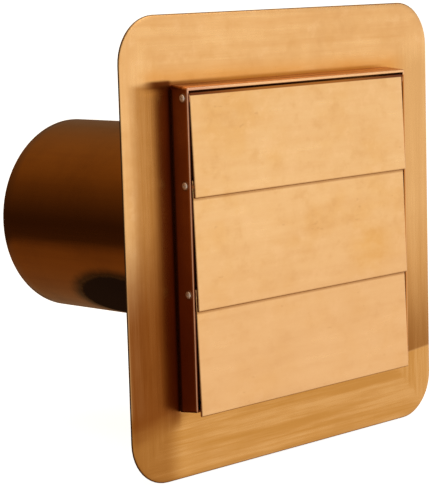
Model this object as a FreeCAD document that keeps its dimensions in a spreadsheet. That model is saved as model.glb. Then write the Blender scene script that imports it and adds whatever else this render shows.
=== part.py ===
import FreeCAD, Part
import math
import os
import re

import Sketcher

# Copper louvred wall vent: a square flange, a shallow hood with three drop louvres, and a round tailpipe.
# Millimetres, +Z up. The wall is the plane Y = 0, the tailpipe runs towards +Y along the Y axis
# and the hood and its louvres face -Y. The origin is on the tailpipe's axis in the plane of the wall.

SIZES = {
    # sheet
    "gauge": (0.65, "copper sheet"),
    # wall flange
    "flange_side": (216.0, "square, 8 1/2 in"),
    "flange_corner": (22.0, "corner radius, 7/8 in"),
    "flange_depth": (1.3, "over the turned-back edge"),
    "flange_bend": (0.8, "bevel of the turned-back edge"),
    # tailpipe
    "pipe_radius": (50.3, "outside, slides into a 4 in duct"),
    "pipe_length": (156.0, "behind the wall plane"),
    "pipe_neck": (49.7, "outside radius where it passes through the flange"),
    "pipe_shoulder": (0.27, "inside end of the shoulder behind the wall plane"),
    "pipe_collar": (6.6, "width of the flared collar inside the hood"),
    "lap_width": (8.0, "soldered lap of the rolled seam"),
    "seam_angle": (-52.0, "direction of the seam below +X, degrees"),
    # hood
    "hood_width": (154.0, "outside"),
    "hood_half": (76.1, "half height where it meets the flange"),
    "hood_taper": (1.1, "half height lost by the rim"),
    "rim_reach": (12.4, "rim of the hood in front of the wall plane"),
    "rim_round": (0.55, "roll of the hemmed rim"),
    "hem_width": (6.5, "hem folded inwards behind the rim"),
    "foot_width": (8.0, "soldering foot turned inwards on the flange"),
    "corner_bend": (1.2, "outside radius of the folded corners"),
    "tab_height": (4.8, "sill's tabs inside the cheeks"),
    "tab_inset": (0.8, "tabs behind the rim and in front of the feet"),
    # louvres, measured from the pivot
    "pivot_reach": (9.2, "pivots in front of the wall plane"),
    "pivot_drop": (5.9, "upper pivots below the hood's top"),
    "pitch_upper": (39.9, "upper to middle pivots"),
    "pitch_middle": (50.3, "middle to lower pivots"),
    "reach_upper": (5.8, "upper louvre's edge below the middle pivots"),
    "reach_middle": (8.0, "middle louvre's edge below the lower pivots"),
    "reach_lower": (1.1, "lower louvre's edge below the hood"),
    "ear_gap": (3.9, "an ear ends this far above the next pivot"),
    "ear_stop": (7.1, "the lower ears end this far above the hood's bottom"),
    "louver_rise": (1.2, "upper edge above the pivot"),
    "louver_kick": (1.9, "lower edge stands further out than the upper one"),
    "louver_hem": (6.0, "hem folded behind the lower edge"),
    "louver_bend": (0.6, "outside radius between face and ear"),
    "ear_radius": (2.9, "ear around the pivot, and face in front of it"),
    "ear_shoulder": (4.0, "full width of the ear below the pivot"),
    "ear_depth": (3.2, "ear behind the face at its lower end"),
    "ear_round": (1.2, "corner at the ear's lower end"),
    # pivot rivets
    "rivet_radius": (1.2, "shank, 3/32 in blind rivet"),
    "pivot_clearance": (0.05, "shank to ear, radial"),
    "side_play": (0.1, "each side of an ear, along the rivet"),
    "head_radius": (2.4, "domed head"),
    "head_height": (0.8, "domed head"),
    "bulb_radius": (1.75, "set end inside the ear"),
    "bulb_length": (1.9, "set end inside the ear"),
    "mandrel_radius": (0.6, "stub left in the rivet"),
    "mandrel_recess": (0.25, "stub below the crown of the head"),
    "mandrel_stub": (0.6, "stands out behind the set end"),
    "washer_radius": (3.2, "spacer between cheek and ear"),
    "washer_thickness": (0.6, "spacer between cheek and ear"),
}

doc = FreeCAD.newDocument("LouverVent")
sheet = doc.addObject("Spreadsheet::Sheet", "Sizes")
for row, (name, (value, note)) in enumerate(SIZES.items(), start=1):
    sheet.set(f"A{row}", name)
    sheet.set(f"B{row}", str(value))
    sheet.set(f"C{row}", note)
    sheet.setAlias(f"B{row}", name)
doc.recompute()

NAMES = re.compile(r"[a-z][a-z_]*")

# Heights and lengths that follow from the sizes above
HOOD_FRONT = "(hood_half - hood_taper)"
FOOT_START = "(hood_half - foot_width)"
LOUVER_WIDTH = "(hood_width - 4 * gauge - 2 * washer_thickness - 2 * side_play)"
PIVOT = {"upper": "(hood_half - pivot_drop)"}
PIVOT["middle"] = f"({PIVOT['upper']} - pitch_upper)"
PIVOT["lower"] = f"({PIVOT['middle']} - pitch_middle)"
DROP = {
    "upper": "(pitch_upper + reach_upper)",
    "middle": "(pitch_middle + reach_middle)",
    "lower": f"({PIVOT['lower']} + hood_half + reach_lower)",
}
EAR_DROP = {
    "upper": "(pitch_upper - ear_gap)",
    "middle": "(pitch_middle - ear_gap)",
    "lower": f"({PIVOT['lower']} + hood_half - ear_stop)",
}


def bound(text):
    """An expression on the sheet's cells, from one that uses their names alone."""
    return NAMES.sub(lambda m: "Sizes." + m.group(0) if m.group(0) in SIZES else m.group(0), text)


def bind(thing, what, text):
    thing.setExpression(what, bound(text))


def new_body(label):
    body = doc.addObject("PartDesign::Body", label)
    body.Label = label
    return body


def plane(body, role):
    return next(f for f in body.Origin.OriginFeatures if f.Role == role)


def new_sketch(body, role, name, offset=None):
    """A sketch on one of the body's own planes, moved along the plane's normal by an expression."""
    sketch = body.newObject("Sketcher::SketchObject", name)
    sketch.AttachmentSupport = [(plane(body, role), "")]
    sketch.MapMode = "FlatFace"
    if offset:
        bind(sketch, "AttachmentOffset.Base.z", offset)
    return sketch


def place(sketch, geometry, end, across, up):
    """Fix one point of a sketch at two expressions."""
    for axis, text, line in (("X", across, -2), ("Y", up, -1)):
        if text == "0":
            sketch.addConstraint(Sketcher.Constraint("PointOnObject", geometry, end, line))
        else:
            index = sketch.addConstraint(
                Sketcher.Constraint("Distance" + axis, -1, 1, geometry, end, 1.0))
            bind(sketch, f"Constraints[{index}]", text)


def outline(sketch, points):
    """A closed outline of straight edges through points given as pairs of expressions."""
    first = sketch.GeometryCount
    count = len(points)
    start = [FreeCAD.Vector(10 * math.cos(6.283 * i / count), 10 * math.sin(6.283 * i / count), 0)
             for i in range(count)]
    for i in range(count):
        sketch.addGeometry(Part.LineSegment(start[i], start[(i + 1) % count]), False)
    for i in range(count):
        sketch.addConstraint(
            Sketcher.Constraint("Coincident", first + i, 2, first + (i + 1) % count, 1))
    for i, (across, up) in enumerate(points):
        place(sketch, first + i, 1, across, up)


def circle(sketch, radius, across="0", up="0"):
    index = sketch.addGeometry(
        Part.Circle(FreeCAD.Vector(0, 0, 0), FreeCAD.Vector(0, 0, 1), 1.0), False)
    place(sketch, index, 3, across, up)
    size = sketch.addConstraint(Sketcher.Constraint("Radius", index, 1.0))
    bind(sketch, f"Constraints[{size}]", radius)


def pad(body, sketch, length, symmetric=False, reversed_=False):
    feature = body.newObject("PartDesign::Pad", sketch.Name + "_pad")
    feature.Profile = sketch
    bind(feature, "Length", length)
    if symmetric:
        feature.SideType = "Symmetric"
    feature.Reversed = reversed_
    doc.recompute()
    return feature


def pocket(body, sketch, length, symmetric=False, reversed_=False):
    """A cut whose effect is checked, because one that points away from the solid removes nothing."""
    before = body.Shape.Volume
    feature = body.newObject("PartDesign::Pocket", sketch.Name + "_cut")
    feature.Profile = sketch
    bind(feature, "Length", length)
    if symmetric:
        feature.SideType = "Symmetric"
    feature.Reversed = reversed_
    doc.recompute()
    if body.Shape.Volume >= before - 1e-6:
        raise RuntimeError(f"{body.Label}: {feature.Name} removed nothing")
    return feature


def revolve(body, sketch, axis, angle=None):
    feature = body.newObject("PartDesign::Revolution", sketch.Name + "_turn")
    feature.Profile = sketch
    feature.ReferenceAxis = (sketch, [axis])
    if angle:
        bind(feature, "Angle", angle)
        feature.SideType = "Symmetric"
    else:
        feature.Angle = 360.0
    doc.recompute()
    return feature


def mirror(body, features, role):
    feature = body.newObject("PartDesign::Mirrored", features[-1].Name + "_mirror")
    feature.Originals = features
    feature.MirrorPlane = (plane(body, role), [""])
    body.Tip = feature
    doc.recompute()
    return feature


def ease(body, kind, what, text, chosen, name):
    """Finish the edges of the body's tip for which chosen(edge) holds."""
    base = body.Tip
    edges = [f"Edge{i}" for i, e in enumerate(base.Shape.Edges, start=1) if chosen(e)]
    if not edges:
        raise RuntimeError(f"{body.Label}: no edge for {name}")
    feature = body.newObject(kind, name)
    feature.Base = (base, edges)
    bind(feature, what, text)
    doc.recompute()
    return feature


def fillet(body, radius, chosen, name):
    return ease(body, "PartDesign::Fillet", "Radius", radius, chosen, name)


def chamfer(body, width, chosen, name):
    return ease(body, "PartDesign::Chamfer", "Size", width, chosen, name)


def size(name):
    return SIZES[name][0]


def near(a, b, tol=0.02):
    return abs(a - b) < tol


def spans(edge, **axes):
    """Does the edge's box lie at these coordinates along the named axes?"""
    box = edge.BoundBox
    for axis, value in axes.items():
        low, high = {"x": (box.XMin, box.XMax), "y": (box.YMin, box.YMax), "z": (box.ZMin, box.ZMax)}[axis]
        if not (near(abs(low), abs(value)) and near(abs(high), abs(value)) and high - low < 0.02):
            return False
    return True


def rounded_square(sketch, side, corner):
    """A square with tangent corner arcs, centred on the origin of its sketch."""
    half = 50.0
    soft = 10.0
    vector = FreeCAD.Vector
    straight = [(-half + soft, -half, half - soft, -half), (half, -half + soft, half, half - soft),
                (half - soft, half, -half + soft, half), (-half, half - soft, -half, -half + soft)]
    centres = [(half - soft, -half + soft), (half - soft, half - soft),
               (-half + soft, half - soft), (-half + soft, -half + soft)]
    for i, (x1, y1, x2, y2) in enumerate(straight):
        sketch.addGeometry(Part.LineSegment(vector(x1, y1, 0), vector(x2, y2, 0)), False)
    for i, (x, y) in enumerate(centres):
        start = -math.pi / 2 + i * math.pi / 2
        sketch.addGeometry(Part.ArcOfCircle(
            Part.Circle(vector(x, y, 0), vector(0, 0, 1), soft), start, start + math.pi / 2), False)
    rules = [Sketcher.Constraint("Tangent", i, 2, 4 + i, 1) for i in range(4)]
    rules += [Sketcher.Constraint("Tangent", 4 + i, 2, (i + 1) % 4, 1) for i in range(4)]
    rules += [Sketcher.Constraint("Horizontal", 0), Sketcher.Constraint("Horizontal", 2),
              Sketcher.Constraint("Vertical", 1), Sketcher.Constraint("Vertical", 3)]
    rules += [Sketcher.Constraint("Equal", 4, 4 + i) for i in (1, 2, 3)]
    sketch.addConstraint(rules)
    for geometry, axis, text in ((0, "Y", f"-({side}) / 2"), (2, "Y", f"({side}) / 2"),
                                 (3, "X", f"-({side}) / 2"), (1, "X", f"({side}) / 2")):
        index = sketch.addConstraint(
            Sketcher.Constraint("Distance" + axis, -1, 1, geometry, 1, half if text[0] != "-" else -half))
        bind(sketch, f"Constraints[{index}]", text)
    index = sketch.addConstraint(Sketcher.Constraint("Radius", 4, soft))
    bind(sketch, f"Constraints[{index}]", corner)


# Wall flange: a flat square sheet with rounded corners, its edge turned back against the wall
flange = new_body("wall_flange")
blank = new_sketch(flange, "XZ_Plane", "flange_blank")
rounded_square(blank, "flange_side", "flange_corner")
pad(flange, blank, "flange_depth")
chamfer(flange, "flange_bend", lambda e: spans(e, y=size("flange_depth")), "flange_edge_bend")
hollow = new_sketch(flange, "XZ_Plane", "flange_hollow")
rounded_square(hollow, "flange_side - 2 * gauge", "flange_corner - gauge")
pocket(flange, hollow, "flange_depth - gauge", reversed_=True)
pipe_hole = new_sketch(flange, "XZ_Plane", "flange_pipe_hole")
circle(pipe_hole, "pipe_neck")
pocket(flange, pipe_hole, "flange_depth", reversed_=True)

# Tailpipe: rolled sheet with a lapped seam, drawn in at a shoulder that seats behind the flange
# and flared over the flange's front face inside the hood
pipe = new_body("tailpipe")
wall = new_sketch(pipe, "XY_Plane", "pipe_profile")
outline(wall, [
    ("pipe_radius - gauge", "pipe_length"),
    ("pipe_radius", "pipe_length"),
    ("pipe_radius", "0"),
    ("pipe_neck", "-flange_depth + gauge"),
    ("pipe_neck", "-flange_depth"),
    ("pipe_neck + pipe_collar", "-flange_depth"),
    ("pipe_neck + pipe_collar", "-flange_depth - gauge"),
    ("pipe_neck - gauge", "-flange_depth - gauge"),
    ("pipe_neck - gauge", "-flange_depth + gauge + pipe_shoulder"),
    ("pipe_radius - gauge", "pipe_shoulder"),
])
revolve(pipe, wall, "V_Axis")
lap = new_sketch(pipe, "XZ_Plane", "pipe_lap", "-pipe_length")
bind(lap, "AttachmentOffset.Rotation.Angle", "seam_angle")
outline(lap, [
    ("pipe_radius - 2 * gauge", "-lap_width / 2"),
    ("pipe_radius - gauge / 2", "-lap_width / 2"),
    ("pipe_radius - gauge / 2", "lap_width / 2"),
    ("pipe_radius - 2 * gauge", "lap_width / 2"),
])
pad(pipe, lap, "pipe_length - 1")


# Hood: a hood of top and two cheeks folded from one sheet, and a sill soldered in below.
# Their front edges are hemmed inwards and their back edges turned inwards as soldering feet.
SLOPE = "hood_taper / (rim_reach - flange_depth)"


def panel(side):
    """Section of the hood's top (side = 1) or of its sill (side = -1), across Y and up Z."""
    def up(drop, reach):
        return f"{side} * ({HOOD_FRONT} + {SLOPE} * (rim_reach - ({reach})) - {drop})"
    return [
        ("-flange_depth", up("0", "flange_depth")),
        ("-rim_reach", up("0", "rim_reach")),
        ("-rim_reach", up("2 * gauge", "rim_reach")),
        ("-rim_reach + hem_width", up("2 * gauge", "rim_reach - hem_width")),
        ("-rim_reach + hem_width", up("gauge", "rim_reach - hem_width")),
        ("-flange_depth - gauge", up("gauge", "flange_depth + gauge")),
        ("-flange_depth - gauge", up("foot_width", "flange_depth")),
        ("-flange_depth", up("foot_width", "flange_depth")),
    ]


def cheek(side):
    """Section of one cheek, across X and along Y."""
    out = f"{side} * (hood_width / 2"
    return [
        (out + ")", "-flange_depth"),
        (out + ")", "-rim_reach"),
        (out + " - 2 * gauge)", "-rim_reach"),
        (out + " - 2 * gauge)", "-rim_reach + hem_width"),
        (out + " - gauge)", "-rim_reach + hem_width"),
        (out + " - gauge)", "-flange_depth - gauge"),
        (out + " - foot_width)", "-flange_depth - gauge"),
        (out + " - foot_width)", "-flange_depth"),
    ]


hood = new_body("hood_shell")
top = new_sketch(hood, "YZ_Plane", "hood_top")
outline(top, panel(1))
pad(hood, top, "hood_width", symmetric=True)
cheeks = new_sketch(hood, "XY_Plane", "hood_cheeks", "-hood_half")
outline(cheeks, cheek(-1))
outline(cheeks, cheek(1))
pad(hood, cheeks, "2 * hood_half - gauge / 2")
for side, name in ((1, "hood_trim_above"), (-1, "hood_trim_below")):
    trim = new_sketch(hood, "YZ_Plane", name)
    outline(trim, [
        ("-flange_depth + 1", f"{side} * (hood_half + {SLOPE})"),
        ("-rim_reach - 1", f"{side} * ({HOOD_FRONT} - {SLOPE})"),
        ("-rim_reach - 1", f"{side} * (hood_half + 1)"),
        ("-flange_depth + 1", f"{side} * (hood_half + 1)"),
    ])
    pocket(hood, trim, "hood_width + 2", symmetric=True)
notch = new_sketch(hood, "XZ_Plane", "hood_foot_notch")
for side in (-1, 1):
    outline(notch, [
        (f"{side} * (hood_width / 2 - gauge)", "-hood_half - 1"),
        (f"{side} * (hood_width / 2 - foot_width - 1)", "-hood_half - 1"),
        (f"{side} * (hood_width / 2 - foot_width - 1)", f"-{FOOT_START}"),
        (f"{side} * (hood_width / 2 - gauge)", f"-{FOOT_START}"),
    ])
pocket(hood, notch, "flange_depth + gauge", reversed_=True)
pivots = new_sketch(hood, "YZ_Plane", "hood_pivot_holes")
for level in ("upper", "middle", "lower"):
    circle(pivots, "rivet_radius", "-pivot_reach", PIVOT[level])
pocket(hood, pivots, "hood_width + 2", symmetric=True)
hood_front = size("hood_half") - size("hood_taper")
fillet(hood, "corner_bend", lambda e: near(abs(e.CenterOfMass.x), size("hood_width") / 2)
       and e.CenterOfMass.z > hood_front and e.BoundBox.XLength < size("gauge")
       and e.BoundBox.YLength > size("hem_width"), "hood_corner_bends")
fillet(hood, "rim_round", lambda e: spans(e, y=size("rim_reach")) and e.Length > 2 * size("gauge")
       and e.CenterOfMass.z > size("hem_width") - hood_front, "hood_rim")

sill = new_body("hood_sill")
strip = new_sketch(sill, "YZ_Plane", "sill_strip")
outline(strip, panel(-1))
pad(sill, strip, "hood_width - 2 * gauge", symmetric=True)
ends = new_sketch(sill, "XY_Plane", "sill_hem_notch")
for side in (-1, 1):
    outline(ends, [
        (f"{side} * (hood_width / 2 - 2 * gauge)", "-rim_reach + hem_width"),
        (f"{side} * hood_width / 2", "-rim_reach + hem_width"),
        (f"{side} * hood_width / 2", "-rim_reach - 1"),
        (f"{side} * (hood_width / 2 - 2 * gauge)", "-rim_reach - 1"),
    ])
pocket(sill, ends, "hood_half + 1")
tab = new_sketch(sill, "YZ_Plane", "sill_tab", "hood_width / 2 - 3 * gauge")
outline(tab, [
    ("-rim_reach + tab_inset", f"gauge - {HOOD_FRONT}"),
    ("-flange_depth - gauge - tab_inset", f"gauge / 2 - {HOOD_FRONT}"),
    ("-flange_depth - gauge - tab_inset", f"tab_height - {HOOD_FRONT}"),
    ("-rim_reach + tab_inset", f"tab_height - {HOOD_FRONT}"),
])
mirror(sill, [pad(sill, tab, "gauge")], "YZ_Plane")
fillet(sill, "rim_round", lambda e: spans(e, y=size("rim_reach"))
       and e.BoundBox.XLength > size("hem_width"), "sill_rim")

# Louvres: each hangs from ears folded back at its ends and laps over the one below.
# Its sketches start from the pivot's axis: across is Y, up is Z.


def louver(level):
    body = new_body(f"louver_{level}")
    drop, ear_drop = DROP[level], EAR_DROP[level]
    bind(body, "Placement.Base.y", "-pivot_reach")
    bind(body, "Placement.Base.z", PIVOT[level])
    lean = f"louver_kick / ({drop} + louver_rise)"

    def face_at(below):
        """Front of the face at a height given as a distance below the pivot."""
        return f"-ear_radius - {lean} * ({below} + louver_rise)"

    face = new_sketch(body, "YZ_Plane", f"face_{level}")
    outline(face, [
        ("-ear_radius", "louver_rise"),
        (face_at(drop), f"-{drop}"),
        (face_at(drop) + " + 2 * gauge", f"-{drop}"),
        (face_at(f"{drop} - louver_hem") + " + 2 * gauge", f"-{drop} + louver_hem"),
        (face_at(f"{drop} - louver_hem") + " + gauge", f"-{drop} + louver_hem"),
        ("-ear_radius + gauge", "louver_rise"),
    ])
    face_pad = pad(body, face, LOUVER_WIDTH, symmetric=True)
    half = face_pad.Shape.BoundBox.XMax

    ear = new_sketch(body, "YZ_Plane", f"ear_{level}", f"{LOUVER_WIDTH} / 2 - gauge")
    vector = FreeCAD.Vector
    ear.addGeometry(Part.ArcOfCircle(Part.Circle(vector(0, 0, 0), vector(0, 0, 1), 3.0), 0, math.pi), False)
    corners = [(-3.0, 0.0), (-4.0, -30.0), (-1.0, -30.0), (3.0, -4.0), (3.0, 0.0)]
    for (x1, y1), (x2, y2) in zip(corners, corners[1:]):
        ear.addGeometry(Part.LineSegment(vector(x1, y1, 0), vector(x2, y2, 0)), False)
    ear.addConstraint([
        Sketcher.Constraint("Coincident", 0, 3, -1, 1),
        Sketcher.Constraint("PointOnObject", 0, 1, -1),
        Sketcher.Constraint("PointOnObject", 0, 2, -1),
        Sketcher.Constraint("Coincident", 0, 2, 1, 1),
        Sketcher.Constraint("Coincident", 1, 2, 2, 1),
        Sketcher.Constraint("Coincident", 2, 2, 3, 1),
        Sketcher.Constraint("Coincident", 3, 2, 4, 1),
        Sketcher.Constraint("Coincident", 4, 2, 0, 1),
    ])
    index = ear.addConstraint(Sketcher.Constraint("Radius", 0, 3.0))
    bind(ear, f"Constraints[{index}]", "ear_radius")
    place(ear, 1, 2, face_at(ear_drop), f"-{ear_drop}")
    place(ear, 2, 2, face_at(ear_drop) + " + ear_depth", f"-{ear_drop}")
    place(ear, 3, 2, "ear_radius", "-ear_shoulder")
    circle(ear, "rivet_radius + pivot_clearance")
    ear_pad = pad(body, ear, "gauge")
    mirror(body, [ear_pad], "YZ_Plane")
    across = [e for e in body.Tip.Shape.Edges if near(e.BoundBox.XLength, size("gauge"))
              and near(e.Length, size("gauge")) and e.CenterOfMass.y < size("ear_radius") - size("gauge")]
    ear_end = min(e.CenterOfMass.z for e in across)
    ear_back = max(e.CenterOfMass.y for e in across if near(e.CenterOfMass.z, ear_end))
    fillet(body, "ear_round", lambda e: near(e.Length, size("gauge"))
           and near(e.CenterOfMass.z, ear_end) and near(e.CenterOfMass.y, ear_back), f"ear_corner_{level}")
    fillet(body, "louver_bend", lambda e: near(abs(e.CenterOfMass.x), half)
           and e.BoundBox.XLength < size("gauge") / 10 and e.BoundBox.ZLength > 2 * size("louver_hem")
           and e.CenterOfMass.y < -size("ear_radius"), f"face_bend_{level}")
    return body


louvers = [louver(level) for level in ("upper", "middle", "lower")]

# Pivots: a blind rivet through cheek, spacer and ear on each side of each louvre.
# Each piece is turned about its own X axis, from the cheek's outer face (X = 0) inwards.
CHEEK = "2 * gauge"
SET = f"({CHEEK} + washer_thickness + gauge + 2 * side_play)"


def on_pivot(body, side, level):
    bind(body, "Placement.Base.x", f"{side} * hood_width / 2")
    bind(body, "Placement.Base.y", "-pivot_reach")
    bind(body, "Placement.Base.z", PIVOT[level])
    if side > 0:
        body.Placement.Rotation = FreeCAD.Rotation(FreeCAD.Vector(0, 0, 1), 180)


def rivet(side, hand, level):
    body = new_body(f"pivot_rivet_{level}_{hand}")
    section = new_sketch(body, "XY_Plane", f"rivet_{level}_{hand}")
    outline(section, [
        ("-head_height", "mandrel_radius"),
        ("-head_height", "head_radius / 2"),
        ("0", "head_radius"),
        ("0", "rivet_radius"),
        (SET, "rivet_radius"),
        (SET, "bulb_radius"),
        (SET + " + bulb_length", "bulb_radius"),
        (SET + " + bulb_length", "mandrel_radius"),
    ])
    revolve(body, section, "H_Axis")
    on_pivot(body, side, level)
    return body


def washer(side, hand, level):
    body = new_body(f"spacer_washer_{level}_{hand}")
    section = new_sketch(body, "XY_Plane", f"washer_{level}_{hand}")
    outline(section, [
        (CHEEK, "rivet_radius + pivot_clearance"),
        (CHEEK, "washer_radius"),
        (CHEEK + " + washer_thickness", "washer_radius"),
        (CHEEK + " + washer_thickness", "rivet_radius + pivot_clearance"),
    ])
    revolve(body, section, "H_Axis")
    on_pivot(body, side, level)
    return body


def mandrel(side, hand, level):
    body = new_body(f"rivet_mandrel_{level}_{hand}")
    section = new_sketch(body, "XY_Plane", f"mandrel_{level}_{hand}")
    outline(section, [
        ("-head_height + mandrel_recess", "0"),
        ("-head_height + mandrel_recess", "mandrel_radius"),
        (SET + " + bulb_length + mandrel_stub", "mandrel_radius"),
        (SET + " + bulb_length + mandrel_stub", "0"),
    ])
    revolve(body, section, "H_Axis")
    on_pivot(body, side, level)
    return body


fixings = [make(side, hand, level) for make in (rivet, washer, mandrel)
           for level in ("upper", "middle", "lower") for side, hand in ((-1, "left"), (1, "right"))]

doc.recompute()
broken = [o.Label for o in doc.Objects if "Invalid" in o.State or "Error" in o.State]
if broken:
    raise RuntimeError(f"failed objects: {broken}")
pieces = [flange, pipe, hood, sill] + louvers + fixings
for piece in pieces:
    shape = piece.Shape
    if shape.isNull() or not shape.isValid() or len(shape.Solids) != 1:
        raise RuntimeError(f"{piece.Label}: {len(shape.Solids)} solids, valid {shape.isValid()}")
os.makedirs("parts", exist_ok=True)
for piece in pieces:
    piece.Shape.exportStep(f"parts/{piece.Label}.step")
    print(f"{piece.Label:34s} {piece.Shape.Volume:10.2f} mm3")
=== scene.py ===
# %% [markdown]
# # A copper wall vent
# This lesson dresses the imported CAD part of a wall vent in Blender. The vent has a square wall
# flange, a shallow hood with three hinged louvres, and a round tailpipe that goes into the duct.
# The CAD part gives the sizes, and the scene adds rolled edges, rivets and the copper itself.

# %% Load the frame
import math

import bmesh
import bpy
import numpy as np
from mathutils import Matrix, Vector


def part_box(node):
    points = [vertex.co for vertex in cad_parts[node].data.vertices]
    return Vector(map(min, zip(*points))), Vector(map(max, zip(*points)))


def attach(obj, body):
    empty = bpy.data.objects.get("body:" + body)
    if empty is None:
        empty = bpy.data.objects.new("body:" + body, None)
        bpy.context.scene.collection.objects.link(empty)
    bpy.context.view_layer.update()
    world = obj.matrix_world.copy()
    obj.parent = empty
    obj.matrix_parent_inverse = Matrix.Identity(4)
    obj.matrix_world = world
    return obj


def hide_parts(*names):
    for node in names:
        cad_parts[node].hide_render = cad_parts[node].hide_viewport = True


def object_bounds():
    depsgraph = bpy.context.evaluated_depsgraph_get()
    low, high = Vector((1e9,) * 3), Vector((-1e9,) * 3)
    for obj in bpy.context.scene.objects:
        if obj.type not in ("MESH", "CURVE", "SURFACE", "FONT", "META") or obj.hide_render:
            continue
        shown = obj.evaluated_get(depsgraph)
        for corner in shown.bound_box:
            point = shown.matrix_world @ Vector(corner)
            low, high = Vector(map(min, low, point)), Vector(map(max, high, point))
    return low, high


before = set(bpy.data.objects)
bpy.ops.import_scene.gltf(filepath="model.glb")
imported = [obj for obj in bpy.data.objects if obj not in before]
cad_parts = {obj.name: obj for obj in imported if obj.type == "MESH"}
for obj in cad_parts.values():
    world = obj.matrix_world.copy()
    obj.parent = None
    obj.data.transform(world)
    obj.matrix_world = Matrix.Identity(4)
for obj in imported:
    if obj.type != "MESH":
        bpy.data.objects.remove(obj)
cad_low, cad_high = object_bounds()
print("CAD box in mm:", [round(c * 1000, 2) for c in (*cad_low, *cad_high)])

# %% [markdown]
# ## Sizes that the surfaces need
# A maker works from the sheet's thickness and a few outside sizes. The outside sizes are read from
# the CAD nodes, so the dressed pieces can't drift away from the solids, and the small ones repeat
# the values of the part's own size table, in metres.

# %% Sizes
MM = 0.001
GAUGE = 0.65 * MM
CORNER = 22 * MM
FRONT = -1.3 * MM  # the flange's front face
RIM = -12.4 * MM  # the hood's front rim
HEM = 6.5 * MM
FOOT = 8 * MM
PIVOT_Y = -9.2 * MM
PIVOT_Z = {"upper": 70.2 * MM, "middle": 30.3 * MM, "lower": -20.0 * MM}
HALF_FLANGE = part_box("wall_flange")[1].x
HALF_HOOD, _, HOOD_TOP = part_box("hood_shell")[1]
PIPE_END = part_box("tailpipe")[1].y
print("flange", HALF_FLANGE * 2, "hood", HALF_HOOD * 2, "pipe", PIPE_END, "m")


# %% [markdown]
# ## One way to make sheet metal
# A folded sheet is a profile carried along a path: the profile is the cut edge of the sheet, with
# its bends and hems, and the path is the fold line. Both are arrays, so a whole surface is one
# grid of points, and a grid closes on itself where the sheet does.

# %% From a grid to a mesh
def grid_mesh(name, points, closed_u=False, closed_v=False, caps=False):
    """Mesh from points[u, v]: each quad joins (u, v), (u+1, v), (u+1, v+1), (u, v+1)."""
    rows, columns = points.shape[:2]
    u = np.arange(rows if closed_u else rows - 1)
    v = np.arange(columns if closed_v else columns - 1)
    a, b = np.meshgrid(u, v, indexing="ij")
    a2, b2 = (a + 1) % rows, (b + 1) % columns
    quads = np.stack([a * columns + b, a2 * columns + b, a2 * columns + b2, a * columns + b2], -1)
    faces = quads.reshape(-1, 4).tolist()
    if caps:
        faces.append(np.arange(columns).tolist())
        faces.append((np.arange(columns) + (rows - 1) * columns)[::-1].tolist())
    mesh = bpy.data.meshes.new(name)
    mesh.from_pydata(points.reshape(-1, 3).tolist(), [], faces)
    return mesh


def outward(mesh):
    """Merge doubles and turn every face outwards, as a closed shell needs."""
    bm = bmesh.new()
    bm.from_mesh(mesh)
    bmesh.ops.remove_doubles(bm, verts=bm.verts, dist=2e-6)
    bmesh.ops.dissolve_degenerate(bm, dist=1e-7, edges=bm.edges)
    bmesh.ops.recalc_face_normals(bm, faces=bm.faces)
    bm.to_mesh(mesh)
    bm.free()
    return mesh


def piece(name, meshes, smooth=35.0):
    """One object from several meshes, smooth except at edges sharper than the angle."""
    bm = bmesh.new()
    for mesh in meshes:
        bm.from_mesh(outward(mesh))
        bpy.data.meshes.remove(mesh)
    whole = bpy.data.meshes.new(name)
    bm.to_mesh(whole)
    bm.free()
    whole.polygons.foreach_set("use_smooth", np.ones(len(whole.polygons), bool))
    whole.set_sharp_from_angle(angle=math.radians(smooth))
    obj = bpy.data.objects.new(name, whole)
    bpy.context.scene.collection.objects.link(obj)
    print(f"{name}: {len(whole.vertices)} points, {len(whole.polygons)} faces")
    return obj


# %% [markdown]
# Two lines come back in several pieces: the rounded square, which is the flange's edge, and the
# half circle that the sheet makes where it folds back on itself.

# %% Paths and bends
def square_path(half, corner, arc=12, side=20):
    """Closed square with round corners: four quarter circles of the corner radius, with the
    straight sides between them divided evenly. Returns points and outward normals."""
    turn = np.linspace(0, math.pi / 2, arc + 1)
    angle = (np.arange(4)[:, None] * math.pi / 2 + turn[None, :])
    sign_x = np.array([1, -1, -1, 1])[:, None]
    sign_z = np.array([1, 1, -1, -1])[:, None]
    x = sign_x * (half - corner) + corner * np.cos(angle)
    z = sign_z * (half - corner) + corner * np.sin(angle)
    step = np.linspace(0, 1, side + 1)[None, 1:-1]

    def with_sides(values):
        """Put each side's values between one corner's last and the next corner's first."""
        after = np.roll(values, -1, axis=0)[:, :1]
        return np.hstack([values, values[:, -1:] * (1 - step) + after * step]).ravel()

    nx, nz = with_sides(np.cos(angle)), with_sides(np.sin(angle))
    long = np.hypot(nx, nz)
    return with_sides(x), with_sides(z), nx / long, nz / long


def half_turn(radius, steps=6, flat=1.0):
    """Half circle from one face of a hem to the other: (out, along) pairs. A flat below 1 raises
    the cosine to that power, which presses the fold flat in front, as a hem hammered shut is."""
    angle = np.linspace(-math.pi / 2, math.pi / 2, steps + 1)
    return radius * np.cos(angle) ** flat, radius * np.sin(angle)


# %% [markdown]
# ## The wall flange
# On the real vent this is one square of copper sheet with a hemmed rim, so that it has no sharp
# edge and lies 1.3 mm proud of the wall. It could be a plate with a bevel, but the folded hem is
# what catches the light, so a profile with the fold in it is carried round the square. Its inner
# end is carried round the pipe's hole, and the flat between them is blended from one to the other.

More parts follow.
